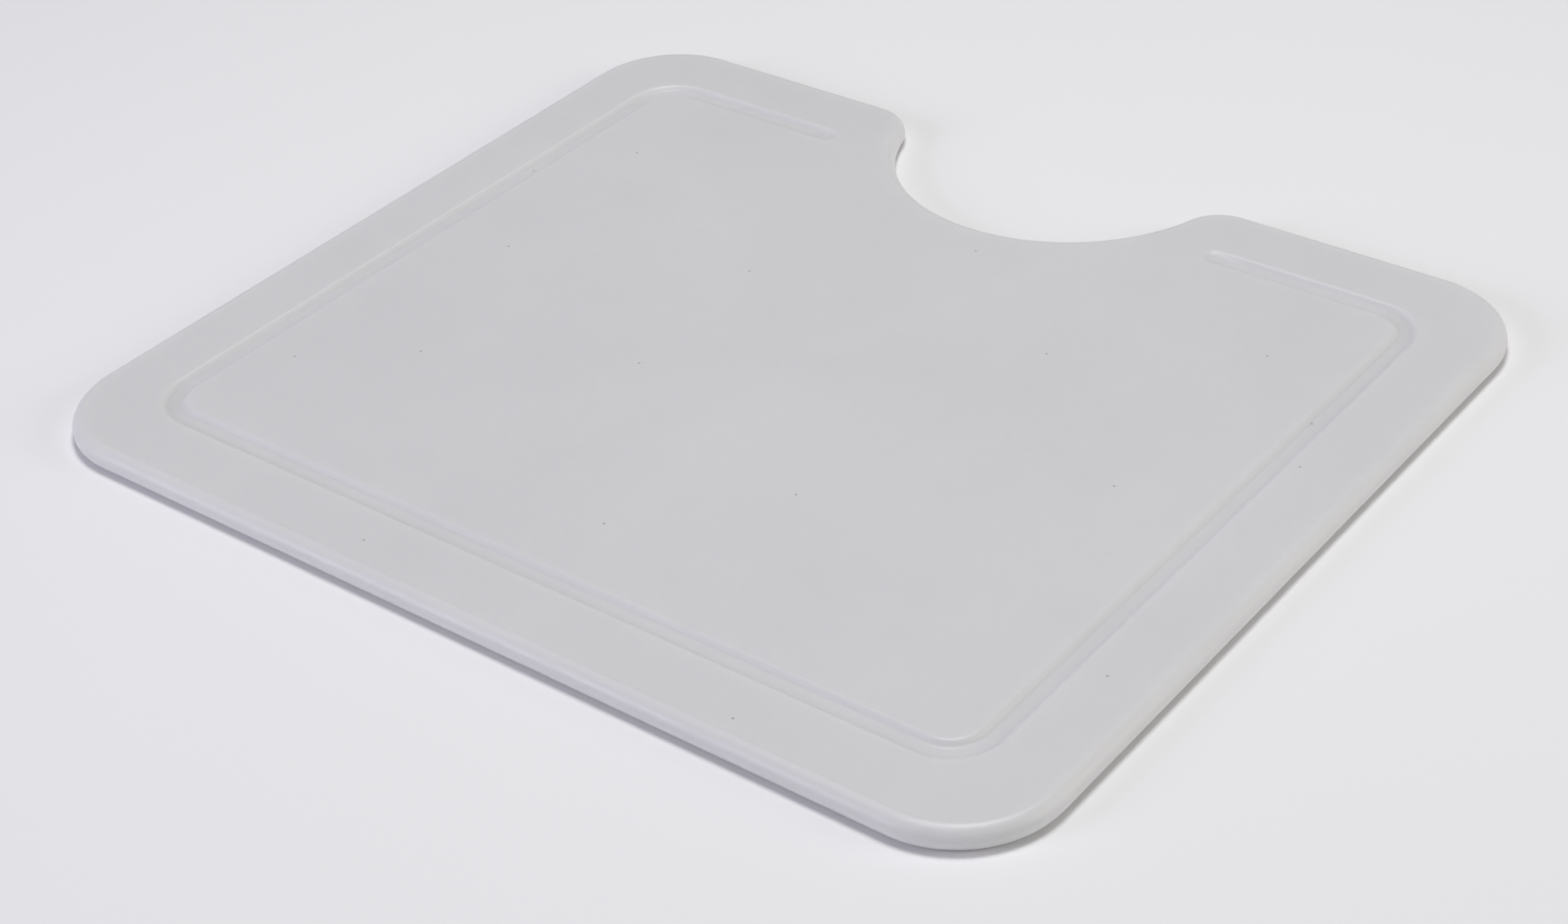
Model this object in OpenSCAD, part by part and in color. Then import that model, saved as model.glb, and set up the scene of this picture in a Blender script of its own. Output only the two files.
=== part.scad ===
// Sink cutting board: one slab of white polyethylene with a bull-nosed edge, rounded corners,
// a round cut-out in the middle of the back edge and a juice groove that stops either side of it.
// Millimetres, +Z up, +X to the right, +Y to the back. The origin is the middle of the underside.

/* [Board] */
// Length of the board, left to right
board_l = 435; // [400:5:480]
// Depth of the board, front to back
board_d = 372; // [340:2:420]
// Thickness of the board
board_t = 9.5; // [8:0.5:14]
// Radius of the four outer corners
corner_r = 40; // [25:1:60]
// Height of the fine step where the bull nose meets each flat face
edge_step = 0.15; // [0.1:0.05:0.3]

/* [Cut-out] */
// Radius of the round cut-out in the back edge
cut_r = 73.5; // [60:0.5:85]
// Distance from the back edge out to the centre of the cut-out
cut_out = 9; // [0:1:15]
// Radius of the rounded horns beside the cut-out
horn_r = 20; // [12:1:24]

/* [Juice groove] */
// Length of the groove's rectangle, between its centre lines
groove_l = 367.5; // [340:0.5:370]
// Depth of the groove's rectangle, front to back, between its centre lines
groove_d = 302.5; // [270:0.5:305]
// Radius of the groove's centre line at the corners
groove_corner_r = 16.5; // [10:0.5:30]
// Width of the groove
groove_w = 9.2; // [6:0.1:12]
// Depth of the groove, which is also the radius of its rounded walls
groove_h = 1.8; // [1.5:0.1:2.9]
// Distance from the middle of the board to the centre of each blind end of the groove
groove_end_x = 95; // [85:1:110]

/* [Hidden] */
$fn = 96;

half_l = board_l / 2;
half_d = board_d / 2;
corner_x = half_l - corner_r;       // centres of the outer corners
corner_y = half_d - corner_r;
nose_r = board_t / 2 - edge_step;   // radius of the bull nose

cut_y = half_d + cut_out;           // centre of the cut-out
horn_y = half_d - horn_r;           // centres of the horns, whose arcs run smoothly into the cut-out's
horn_x = sqrt(pow(cut_r + horn_r, 2) - pow(cut_y - horn_y, 2));
horn_turn = acos((cut_y - horn_y) / (cut_r + horn_r));
lap = 0.1;                          // mm or degrees that a horn and its neighbours run on past each other
ease = 0.02;                        // how much slimmer the horn's nose is, so that they cross cleanly
inlay = 2;                          // how far the edges beside a horn reach in past its centre

groove_turn_x = groove_l / 2 - groove_corner_r;   // centres of the groove's corners
groove_turn_y = groove_d / 2 - groove_corner_r;

module both_sides() {
    for (side = [0, 1]) mirror([side, 0, 0]) children();
}

// A run of the section along Y, from y = from down to y = to
module run_y(from, to) {
    translate([0, from, 0]) rotate([90, 0, 0]) linear_extrude(from - to) children();
}

// A turn of the section about a vertical axis, anticlockwise from the angle start
module turn(centre_x, centre_y, start, angle) {
    translate([centre_x, centre_y, 0])
        rotate([0, 0, start])
        rotate_extrude(angle = angle) children();
}

// ---- the slab: a flat middle, and bull-nosed runs and turns all round it ----

// The slab's section at an edge: the nose reaches x = reach, the flat faces end a radius before it
module nose_section(reach, depth, r = nose_r) {
    translate([reach - depth, 0]) square([depth - r, board_t]);
    translate([reach - r, board_t / 2]) intersection() {
        circle(r);
        translate([0, -r]) square([r, 2 * r]);
    }
}

module flat_middle() {
    linear_extrude(board_t) difference() {
        translate([-corner_x, -corner_y]) square([2 * corner_x, corner_y + horn_y]);
        translate([0, cut_y]) circle(cut_r + horn_r / 2);
    }
}

module straight_edges() {
    rotate([0, 0, -90]) run_y(corner_x, -corner_x) nose_section(half_d, corner_r);
    both_sides() {
        run_y(corner_y, -corner_y) nose_section(half_l, corner_r);
        rotate([0, 0, 90]) run_y(lap - horn_x, -corner_x) nose_section(half_d, horn_r + 2 * inlay);
    }
}

module rounded_corners() {
    both_sides() {
        turn(corner_x, corner_y, 0, 90) nose_section(corner_r, corner_r);
        turn(corner_x, -corner_y, -90, 90) nose_section(corner_r, corner_r);
    }
}

// The two horns, and between them the cut-out's arc, where the nose points inwards
module cut_out_edge() {
    reach = horn_r - 2 * ease;
    both_sides() turn(horn_x, horn_y, 90 - lap, horn_turn + 2 * lap)
        nose_section(reach, reach, nose_r - ease);
    depth = horn_r + inlay;
    turn(0, cut_y, -90 - horn_turn - lap, 2 * (horn_turn + lap))
        translate([cut_r + depth, 0]) mirror([1, 0]) nose_section(depth, depth);
}

// ---- the juice groove, as the solid that the cutter sweeps ----

// Flat floor and quarter-round walls; the half above z = 0 only clears the surface
module groove_section() {
    square([groove_w - 2 * groove_h, 2 * groove_h], center = true);
    for (side = [-1, 1])
        translate([side * (groove_w / 2 - groove_h), 0]) circle(groove_h);
}

module half_groove_section() {
    intersection() {
        groove_section();
        translate([0, -groove_h]) square([groove_w, 2 * groove_h]);
    }
}

module groove_cutter() {
    rotate([0, 0, -90]) run_y(groove_turn_x, -groove_turn_x)
        translate([groove_d / 2, 0]) groove_section();
    both_sides() {
        run_y(groove_turn_y, -groove_turn_y) translate([groove_l / 2, 0]) groove_section();
        rotate([0, 0, 90]) run_y(-groove_end_x, -groove_turn_x)
            translate([groove_d / 2, 0]) groove_section();
        for (corner = [[1, 0], [-1, -90]])
            turn(groove_turn_x, corner[0] * groove_turn_y, corner[1], 90)
                translate([groove_corner_r, 0]) groove_section();
        turn(groove_end_x, groove_d / 2, 90, 180) half_groove_section();
    }
}

module board() {
    color("whitesmoke") difference() {
        union() {
            flat_middle();
            straight_edges();
            rounded_corners();
            cut_out_edge();
        }
        translate([0, 0, board_t]) groove_cutter();
    }
}

board();
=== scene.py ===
"""A white polyethylene sink cutting board: a slab with a bull-nosed edge, a juice groove and a cut-out.

The outline, groove and edge repeat the CAD part's dimensions. The mesh is built as closed rings round the
edge and round the groove, with a flat grid of faces between them. Lengths are in metres and angles in
degrees. Azimuth 0 is in front of the board, and 90 is to its right.
"""
import math

import bmesh
import bpy
from mathutils import Matrix, Vector
from mathutils.geometry import delaunay_2d_cdt


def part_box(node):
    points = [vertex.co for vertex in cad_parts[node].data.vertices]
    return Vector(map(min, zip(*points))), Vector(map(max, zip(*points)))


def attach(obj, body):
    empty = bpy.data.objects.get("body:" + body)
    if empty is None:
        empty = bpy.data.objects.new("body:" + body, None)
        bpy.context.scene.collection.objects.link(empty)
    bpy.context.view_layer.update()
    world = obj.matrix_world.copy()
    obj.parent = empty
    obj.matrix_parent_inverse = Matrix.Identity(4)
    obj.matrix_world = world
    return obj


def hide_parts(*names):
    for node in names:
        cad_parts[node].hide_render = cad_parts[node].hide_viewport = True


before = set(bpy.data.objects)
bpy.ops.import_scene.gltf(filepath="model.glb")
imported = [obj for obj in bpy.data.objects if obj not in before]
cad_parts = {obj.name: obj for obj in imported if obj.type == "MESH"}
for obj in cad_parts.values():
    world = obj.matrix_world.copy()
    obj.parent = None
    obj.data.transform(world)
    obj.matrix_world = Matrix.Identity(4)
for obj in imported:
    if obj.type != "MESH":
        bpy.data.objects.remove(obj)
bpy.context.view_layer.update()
board_low, board_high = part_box("board")

MM = 0.001
HALF_L = (board_high.x - board_low.x) / 2
HALF_D = (board_high.y - board_low.y) / 2
THICK = board_high.z - board_low.z

# Outline: the corners, the cut-out's circle, which is centred behind the back edge, and the horns beside it
CORNER_R = 40 * MM
CUT_R = 73.5 * MM
CUT_Y = HALF_D + 9 * MM
HORN_R = 20 * MM

# Groove's centre line: its side and front runs, its corners, and where its back runs end
GROOVE_X = 183.75 * MM
GROOVE_Y = 151.25 * MM
GROOVE_CORNER_R = 16.5 * MM
GROOVE_END_X = 95 * MM

# Groove's section: the rim and the foot of its wall, from the centre line, and how late the wall drops
GROOVE_RIM = 5.2 * MM
GROOVE_FLOOR = 2.3 * MM
GROOVE_DEPTH = 1.8 * MM
WALL_LAG = 1.2

# Groove's blind ends: the share of its depth that is left there, and the length over which they come up
END_DEPTH = 0.45
END_RUN = 8 * MM

# Fine ridge at the foot of the front run's inner wall, and how far behind that run it starts and is full
RIDGE_W = 0.32 * MM
RIDGE_H = 0.16 * MM
RIDGE_START = 9 * MM
RIDGE_FULL = 5 * MM

# Fine raised line where the round-over starts. It lies nearer the edge on the right, and fades in corners.
BEAD_INSET = 4.75 * MM
BEAD_SHIFT = 1.6 * MM
BEAD_W = 0.85 * MM
BEAD_H = 0.12 * MM
BEAD_CORNER_LOSS = 0.7

# Extra rings, in millimetres: from the edge on the flat margin and on the underside, from the groove's rim
# outwards, and from its centre line on its floor
MARGIN_INSETS = (10, 8.5, 7.4, 6.8, 6.4, 6.0, 5.7, 5.4, 5.1)
UNDERSIDE_INSETS = (5.6, 7, 9)
RIM_EXTRAS = (1.0, 0.4)
FLOOR_OFFSETS = (2.1, 1.9, 1.6, 1.2)

# Mesh resolution
CORNER_STEPS = 24
HORN_STEPS = 16
CUT_STEPS = 72
NOSE_STEPS = 36
GROOVE_CORNER_STEPS = 20
GROOVE_END_STEPS = 14
WALL_STEPS = 24
OUTLINE_SPACING = 8 * MM
GROOVE_SPACING = 6 * MM
GRID_PITCH = 8 * MM
GRID_MARGIN = 0.45 * GRID_PITCH
TOUCHING = 0.01 * MM

# Plastic: its two slightly different tints, and its roughness where it is smooth and where it is worn
TINTS = (0.728, 0.728, 0.732), (0.748, 0.748, 0.750)
ROUGHNESS = (0.38, 0.48)

# Specks: how many cells, of one speck each, there are to a metre, and how far from its middle a speck starts
# to fade and ends, in cells
SPECK_CELLS = 11
SPECK_COLOUR = (0.45, 0.45, 0.46)
SPECK_EDGE = (0.0025, 0.0055)

# Relief: the grain, the knife lines' directions, how long and thin they are, which crests of their noise are
# cut, and how deep against the grain's height
GRAIN_SCALE = 1400
KNIFE_ANGLES = (17, 74, 128)
KNIFE_SCALE = 9
KNIFE_STRETCH = 60
KNIFE_CRESTS = (0.74, 0.80)
KNIFE_CUT = 0.8

# The middle of a noise texture's values, where nearly all of them are
NOISE_MIDDLE = (0.3, 0.7)

# Camera: its place round the board, its lens in millimetres, and how far it aims off the face's middle
CAMERA_AZIMUTH = 39.57
CAMERA_ELEVATION = 34.80
CAMERA_ROLL = -3.75
CAMERA_DISTANCE = 1.0646
CAMERA_LENS = 65.1
SENSOR_WIDTH = 36
AIM_BELOW = 0.0376
AIM_LEFT = 0.0016


# ---- outlines: lists of (point, outward normal) ----

def arc(centre_x, centre_y, radius, start, end, steps, inward=False):
    """Points along an arc, with normals away from its centre, or towards it."""
    side = -1 if inward else 1
    points = []
    for i in range(steps + 1):
        angle = math.radians(start + (end - start) * i / steps)
        out = Vector((math.cos(angle), math.sin(angle)))
        points.append((Vector((centre_x, centre_y)) + out * radius, out * side))
    return points


def joined(arcs, spacing, closed):
    """One chain from several arcs, with the straight runs between them divided evenly."""
    chain = []
    followers = arcs[1:] + [arcs[0] if closed else None]
    for here, following in zip(arcs, followers):
        chain += here
        if following is None:
            continue
        (start, normal), (end, _) = here[-1], following[0]
        length = (end - start).length
        if length < TOUCHING:
            chain.pop()
            continue
        steps = max(1, round(length / spacing))
        chain += [(start.lerp(end, i / steps), normal) for i in range(1, steps)]
    return chain


def board_outline():
    """The board's outline, anticlockwise from the front left corner."""
    x, y = HALF_L - CORNER_R, HALF_D - CORNER_R
    horn_y = HALF_D - HORN_R
    horn_x = math.sqrt((CUT_R + HORN_R) ** 2 - (CUT_Y - horn_y) ** 2)
    turn = math.degrees(math.acos((CUT_Y - horn_y) / (CUT_R + HORN_R)))
    return joined([
        arc(-x, -y, CORNER_R, 180, 270, CORNER_STEPS),
        arc(x, -y, CORNER_R, 270, 360, CORNER_STEPS),
        arc(x, y, CORNER_R, 0, 90, CORNER_STEPS),
        arc(horn_x, horn_y, HORN_R, 90, 90 + turn, HORN_STEPS),
        arc(0, CUT_Y, CUT_R, -90 + turn, -90 - turn, CUT_STEPS, inward=True),
        arc(-horn_x, horn_y, HORN_R, 90 - turn, 90, HORN_STEPS),
        arc(-x, y, CORNER_R, 90, 180, CORNER_STEPS),
    ], OUTLINE_SPACING, closed=True)


def groove_path():
    """The groove's centre line, anticlockwise from its left blind end to its right one."""
    r = GROOVE_CORNER_R
    x, y = GROOVE_X - r, GROOVE_Y - r
    left_end = [(Vector((-GROOVE_END_X, GROOVE_Y)), Vector((0, 1)))]
    right_end = [(Vector((GROOVE_END_X, GROOVE_Y)), Vector((0, 1)))]
    return joined([
        left_end,
        arc(-x, y, r, 90, 180, GROOVE_CORNER_STEPS),
        arc(-x, -y, r, 180, 270, GROOVE_CORNER_STEPS),
        arc(x, -y, r, 270, 360, GROOVE_CORNER_STEPS),
        arc(x, y, r, 0, 90, GROOVE_CORNER_STEPS),
        right_end,
    ], GROOVE_SPACING, closed=False)


def groove_loop(path, offset):
    """The closed loop at one distance all round the centre line, with its round ends."""
    outer = [p + n * offset for p, n in path]
    inner = [p - n * offset for p, n in reversed(path)]
    right = arc(GROOVE_END_X, GROOVE_Y, offset, 90, 270, GROOVE_END_STEPS)
    left = arc(-GROOVE_END_X, GROOVE_Y, offset, -90, 90, GROOVE_END_STEPS)
    return outer + [p for p, _ in right[1:-1]] + inner + [p for p, _ in left[1:-1]]


# ---- sections: lists of (distance, height), each of which gives one ring ----

def bump(x, centre, width, height):
    return height * math.exp(-(((x - centre) / width) ** 2))


def fade(x, start, end):
    """0 before start, 1 after end, and smooth between."""
    t = max(0, min(1, (x - start) / (end - start)))
    return t * t * (3 - 2 * t)


def edge_section():
    """From the flat top over the bull nose to the flat underside: (inset, z)."""
    r = THICK / 2
    angles = [math.pi * i / NOSE_STEPS for i in range(NOSE_STEPS + 1)]
    margin = [(inset * MM, THICK) for inset in MARGIN_INSETS]
    nose = [(r - r * math.sin(a), r + r * math.cos(a)) for a in angles]
    underside = [(inset * MM, 0) for inset in UNDERSIDE_INSETS]
    return margin + nose + underside


def edge_bead(inset, normal):
    """The raised line's height. It is nearer the edge on the right, and faint in the corners."""
    centre = BEAD_INSET - BEAD_SHIFT * max(0, normal.x) ** 2
    corner = abs(2 * normal.x * normal.y)
    return bump(inset, centre, BEAD_W, BEAD_H) * (1 - BEAD_CORNER_LOSS * corner)


def groove_section():
    """From the flat top, down the soft S-shaped wall, to the flat floor: (offset, z)."""
    section = [(GROOVE_RIM + extra * MM, THICK) for extra in RIM_EXTRAS]
    for i in range(WALL_STEPS + 1):
        t = i / WALL_STEPS
        drop = GROOVE_DEPTH * (1 - math.cos(math.pi * t ** WALL_LAG)) / 2
        section.append((GROOVE_RIM + (GROOVE_FLOOR - GROOVE_RIM) * t, THICK - drop))
    section += [(offset * MM, THICK - GROOVE_DEPTH) for offset in FLOOR_OFFSETS]
    return section


def groove_ridge(offset, point):
    """The ridge's height: full along the front run, nothing along the others, and on the inner side only."""
    front = fade(-point.y, GROOVE_Y - RIDGE_START, GROOVE_Y - RIDGE_FULL)
    inner = 1 if -point.y < GROOVE_Y else 0
    return bump(offset, GROOVE_FLOOR, RIDGE_W, RIDGE_H) * front * inner


def end_depth(point):
    """How much of its full depth the groove has at a point: its blind ends come up softly."""
    if point.y < 0:
        return 1
    return END_DEPTH + (1 - END_DEPTH) * fade(abs(point.x), GROOVE_END_X, GROOVE_END_X + END_RUN)


# ---- mesh building ----

def add_ring(mesh, loop, heights):
    return [mesh.verts.new((p.x, p.y, z)) for p, z in zip(loop, heights)]


def bridge(mesh, first, second, flip=False):
    """Quads between two rings with the same number of points."""
    count = len(first)
    for i in range(count):
        j = (i + 1) % count
        quad = (first[i], first[j], second[j], second[i])
        mesh.faces.new(reversed(quad) if flip else quad)


def sides(polygon):
    return zip(polygon, polygon[1:] + polygon[:1])


def inside(point, polygon):
    crossings = 0
    for a, b in sides(polygon):
        if (a.y > point.y) != (b.y > point.y):
            if point.x < a.x + (point.y - a.y) * (b.x - a.x) / (b.y - a.y):
                crossings += 1
    return crossings % 2 == 1


def distance_to(point, polygon):
    distances = []
    for a, b in sides(polygon):
        run = b - a
        t = max(0, min(1, (point - a).dot(run) / run.length_squared))
        distances.append((a + run * t - point).length)
    return min(distances)


def grid_points(polygons):
    """A square grid's points inside the first polygon, outside any other, and clear of them all."""
    columns = math.floor(HALF_L / GRID_PITCH)
    rows = math.floor(HALF_D / GRID_PITCH)
    points = []
    for i in range(-columns, columns + 1):
        for j in range(-rows, rows + 1):
            p = Vector((i * GRID_PITCH, j * GRID_PITCH))
            if not inside(p, polygons[0]) or any(inside(p, hole) for hole in polygons[1:]):
                continue
            if min(distance_to(p, polygon) for polygon in polygons) > GRID_MARGIN:
                points.append(p)
    return points


def fill_flat(mesh, rings, z, up=True):
    """Fills the flat region inside the first ring, and outside any other, with a grid that meets them."""
    polygons = [[v.co.xy for v in ring] for ring in rings]
    points, edges, owners = [], [], []
    for ring, polygon in zip(rings, polygons):
        start = len(points)
        points += polygon
        owners += ring
        edges += [(start + i, start + (i + 1) % len(ring)) for i in range(len(ring))]
    points += grid_points(polygons)
    region = list(range(len(rings[0])))
    inside_region, epsilon = 1, 1e-7
    out_points, _, triangles, sources, _, _ = delaunay_2d_cdt(points, edges, [region], inside_region, epsilon)
    verts = []
    for p, source in zip(out_points, sources):
        known = [s for s in source if s < len(owners)]
        verts.append(owners[known[0]] if known else mesh.verts.new((p.x, p.y, z)))
    made = []
    for triangle in triangles:
        middle = sum((out_points[i] for i in triangle), Vector((0, 0))) / 3
        if any(inside(middle, hole) for hole in polygons[1:]):
            continue
        order = triangle if up else reversed(triangle)
        made.append(mesh.faces.new([verts[i] for i in order]))
    bmesh.ops.join_triangles(mesh, faces=made, angle_face_threshold=0.1, angle_shape_threshold=0.6)


def close_floor(mesh, loop, path):
    """The groove floor's middle: quads out from the centre line, and a fan round each blind end."""
    count = len(path)
    caps = (len(loop) - 2 * count) // 2
    centre = [mesh.verts.new((p.x, p.y, THICK - GROOVE_DEPTH * end_depth(p))) for p, _ in path]
    outer = loop[:count]
    right = loop[count:count + caps]
    inner = loop[count + caps:2 * count + caps][::-1]
    left = loop[2 * count + caps:]
    for i in range(count - 1):
        mesh.faces.new((outer[i], outer[i + 1], centre[i + 1], centre[i]))
        mesh.faces.new((centre[i], centre[i + 1], inner[i + 1], inner[i]))
    fans = [
        (centre[-1], [outer[-1]] + right + [inner[-1]]),
        (centre[0], [inner[0]] + left + [outer[0]]),
    ]
    for pivot, fan in fans:
        for a, b in zip(fan, fan[1:]):
            mesh.faces.new((pivot, a, b))


def add_edge(mesh):
    """The rings over the bull nose. Gives the innermost ones, on the top and on the underside."""
    outline = board_outline()
    rings = []
    for inset, z in edge_section():
        heights = [z + (edge_bead(inset, n) if z > THICK / 2 else 0) for _, n in outline]
        rings.append(add_ring(mesh, [p - n * inset for p, n in outline], heights))
    for first, second in zip(rings, rings[1:]):
        bridge(mesh, first, second, flip=True)
    return rings[0], rings[-1]


def add_groove(mesh):
    """The groove's walls and floor. Gives the ring on the flat top round its rim."""
    path = groove_path()
    rings = []
    for offset, z in groove_section():
        loop = groove_loop(path, offset)
        heights = [THICK - (THICK - z) * end_depth(p) + groove_ridge(offset, p) for p in loop]
        rings.append(add_ring(mesh, loop, heights))
    for first, second in zip(rings, rings[1:]):
        bridge(mesh, first, second)
    close_floor(mesh, rings[-1], path)
    return rings[0]


def make_board():
    mesh = bmesh.new()
    top, underside = add_edge(mesh)
    rim = add_groove(mesh)
    fill_flat(mesh, [top, rim], THICK)
    fill_flat(mesh, [underside], 0, up=False)
    bmesh.ops.recalc_face_normals(mesh, faces=mesh.faces)
    data = bpy.data.meshes.new("cutting_board")
    mesh.to_mesh(data)
    mesh.free()
    data.shade_smooth()
    data.materials.append(polyethylene())
    board = bpy.data.objects.new("cutting_board", data)
    bpy.context.scene.collection.objects.link(board)
    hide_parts("board")
    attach(board, "root")


# ---- shader nodes ----

def new_material(name):
    """A node material, with its node tree and its main shader."""
    material = bpy.data.materials.new(name)
    material.use_nodes = True
    tree = material.node_tree
    return material, tree, tree.nodes["Principled BSDF"]


def new_node(tree, kind, values):
    """A node with some of its sockets set."""
    node = tree.nodes.new(kind)
    set_inputs(node, values)
    return node


def set_inputs(node, values):
    for socket, value in values.items():
        node.inputs[socket].default_value = value


def noise(tree, vector, scale, detail):
    texture = new_node(tree, "ShaderNodeTexNoise", {"Scale": scale, "Detail": detail})
    tree.links.new(vector, texture.inputs["Vector"])
    return texture.outputs["Fac"]


def ramp(tree, value, low, high):
    """A colour ramp between two (position, colour) stops."""
    node = tree.nodes.new("ShaderNodeValToRGB")
    for stop, (position, colour) in zip(node.color_ramp.elements, (low, high)):
        stop.position = position
        stop.color = (*colour, 1)
    tree.links.new(value, node.inputs["Fac"])
    return node.outputs["Color"]


def map_range(tree, value, source, target):
    """Maps one (low, high) range onto another, with nothing past its ends."""
    limits = {"From Min": source[0], "From Max": source[1], "To Min": target[0], "To Max": target[1]}
    node = new_node(tree, "ShaderNodeMapRange", limits)
    tree.links.new(value, node.inputs["Value"])
    return node.outputs["Result"]


def total(tree, first, second):
    node = tree.nodes.new("ShaderNodeMath")
    node.operation = "ADD"
    tree.links.new(first, node.inputs[0])
    tree.links.new(second, node.inputs[1])
    return node.outputs["Value"]


def multiplied(tree, first, second):
    """The product of two colours."""
    node = tree.nodes.new("ShaderNodeMix")
    node.data_type = "RGBA"
    node.blend_type = "MULTIPLY"
    node.inputs["Factor"].default_value = 1
    tree.links.new(first, node.inputs["A"])
    tree.links.new(second, node.inputs["B"])
    return node.outputs["Result"]


# ---- materials ----

def specks(tree, place):
    """White with a few dark specks, one in each cell of a Voronoi pattern."""
    cells = tree.nodes.new("ShaderNodeTexVoronoi")
    cells.voronoi_dimensions = "2D"
    cells.inputs["Scale"].default_value = SPECK_CELLS
    tree.links.new(place, cells.inputs["Vector"])
    core, rim = SPECK_EDGE
    white = (1, 1, 1)
    return ramp(tree, cells.outputs["Distance"], (core, SPECK_COLOUR), (rim, white))


def knife_lines(tree, place, angle):
    """Sparse hairlines along one direction, cut into the surface: the crests of a stretched noise."""
    turn = new_node(tree, "ShaderNodeMapping", {
        "Rotation": (0, 0, math.radians(angle)),
        "Scale": (KNIFE_SCALE, KNIFE_SCALE * KNIFE_STRETCH, KNIFE_SCALE),
    })
    tree.links.new(place, turn.inputs["Vector"])
    waves = noise(tree, turn.outputs["Vector"], scale=1, detail=1)
    return map_range(tree, waves, KNIFE_CRESTS, (0, -KNIFE_CUT))


def surface_relief(tree, place):
    """A fine moulded grain with knife lines in a few directions."""
    grain = noise(tree, place, GRAIN_SCALE, detail=2)
    height = map_range(tree, grain, NOISE_MIDDLE, (0, 1))
    for angle in KNIFE_ANGLES:
        height = total(tree, height, knife_lines(tree, place, angle))
    relief = new_node(tree, "ShaderNodeBump", {"Strength": 0.35, "Distance": 0.04 * MM})
    tree.links.new(height, relief.inputs["Height"])
    return relief.outputs["Normal"]


def polyethylene():
    """Waxy white plastic with a fine moulded grain, faint knife lines and a few specks in it."""
    material, tree, shader = new_material("polyethylene")
    place = tree.nodes.new("ShaderNodeTexCoord").outputs["Object"]
    cloud = noise(tree, place, scale=9, detail=3)
    tint = ramp(tree, cloud, (0.35, TINTS[0]), (0.65, TINTS[1]))
    wear = noise(tree, place, scale=55, detail=4)
    roughness = map_range(tree, wear, NOISE_MIDDLE, ROUGHNESS)
    tree.links.new(multiplied(tree, tint, specks(tree, place)), shader.inputs["Base Color"])
    tree.links.new(roughness, shader.inputs["Roughness"])
    tree.links.new(surface_relief(tree, place), shader.inputs["Normal"])
    set_inputs(shader, {
        "IOR": 1.5,
        "Subsurface Weight": 0.6,
        "Subsurface Radius": (1.0, 0.95, 0.85),
        "Subsurface Scale": 8 * MM,
    })
    return material


# ---- stage: floor, light and camera ----

def direction(azimuth, elevation):
    """The unit vector from the board towards a place round it."""
    a, e = math.radians(azimuth), math.radians(elevation)
    return Vector((math.sin(a) * math.cos(e), -math.cos(a) * math.cos(e), math.sin(e)))


def make_floor():
    bpy.ops.mesh.primitive_plane_add(size=12, location=(0, 0, 0))
    floor = bpy.context.object
    floor.name = "floor"
    material, _, shader = new_material("floor")
    set_inputs(shader, {"Base Color": (0.95, 0.95, 0.95, 1), "Roughness": 0.9})
    floor.data.materials.append(material)


def soft_box(name, azimuth, elevation, distance, size, power, colour):
    """A square area light aimed at the board."""
    light = bpy.data.lights.new(name, "AREA")
    light.size = size
    light.energy = power
    light.color = colour
    lamp = bpy.data.objects.new(name, light)
    towards = direction(azimuth, elevation)
    lamp.location = towards * distance
    lamp.rotation_euler = towards.to_track_quat("Z", "Y").to_euler()
    bpy.context.scene.collection.objects.link(lamp)


def make_lights():
    """Most light from overhead, with a cool box low on the left and a warm one low on the right."""
    world = bpy.data.worlds.new("studio")
    bpy.context.scene.world = world
    world.use_nodes = True
    set_inputs(world.node_tree.nodes["Background"], {"Color": (0.98, 0.98, 1.0, 1), "Strength": 0.15})
    soft_box("top_box", 180, 85, distance=2, size=0.7, power=21.5, colour=(0.99, 0.985, 1.0))
    soft_box("left_box", -34, 20, distance=3, size=1.2, power=29.5, colour=(0.84, 0.815, 1.0))
    soft_box("right_box", 112, 20, distance=3, size=1.2, power=23, colour=(1.0, 0.965, 0.91))


def make_camera():
    back = direction(CAMERA_AZIMUTH, CAMERA_ELEVATION)
    roll = math.radians(CAMERA_ROLL)
    level_right = (-back).cross(Vector((0, 0, 1))).normalized()
    level_up = level_right.cross(-back)
    right = level_right * math.cos(roll) + level_up * math.sin(roll)
    up = level_up * math.cos(roll) - level_right * math.sin(roll)
    lens = bpy.data.cameras.new("camera")
    lens.sensor_width = SENSOR_WIDTH
    lens.lens = CAMERA_LENS
    camera = bpy.data.objects.new("camera", lens)
    aim = Vector((0, 0, THICK)) - up * AIM_BELOW - right * AIM_LEFT
    turn = Matrix((right, up, back)).transposed().to_4x4()
    camera.matrix_world = Matrix.Translation(aim + back * CAMERA_DISTANCE) @ turn
    bpy.context.scene.collection.objects.link(camera)
    bpy.context.scene.camera = camera


bpy.context.scene.view_settings.view_transform = "Standard"
make_camera()
make_board()
make_floor()
make_lights()
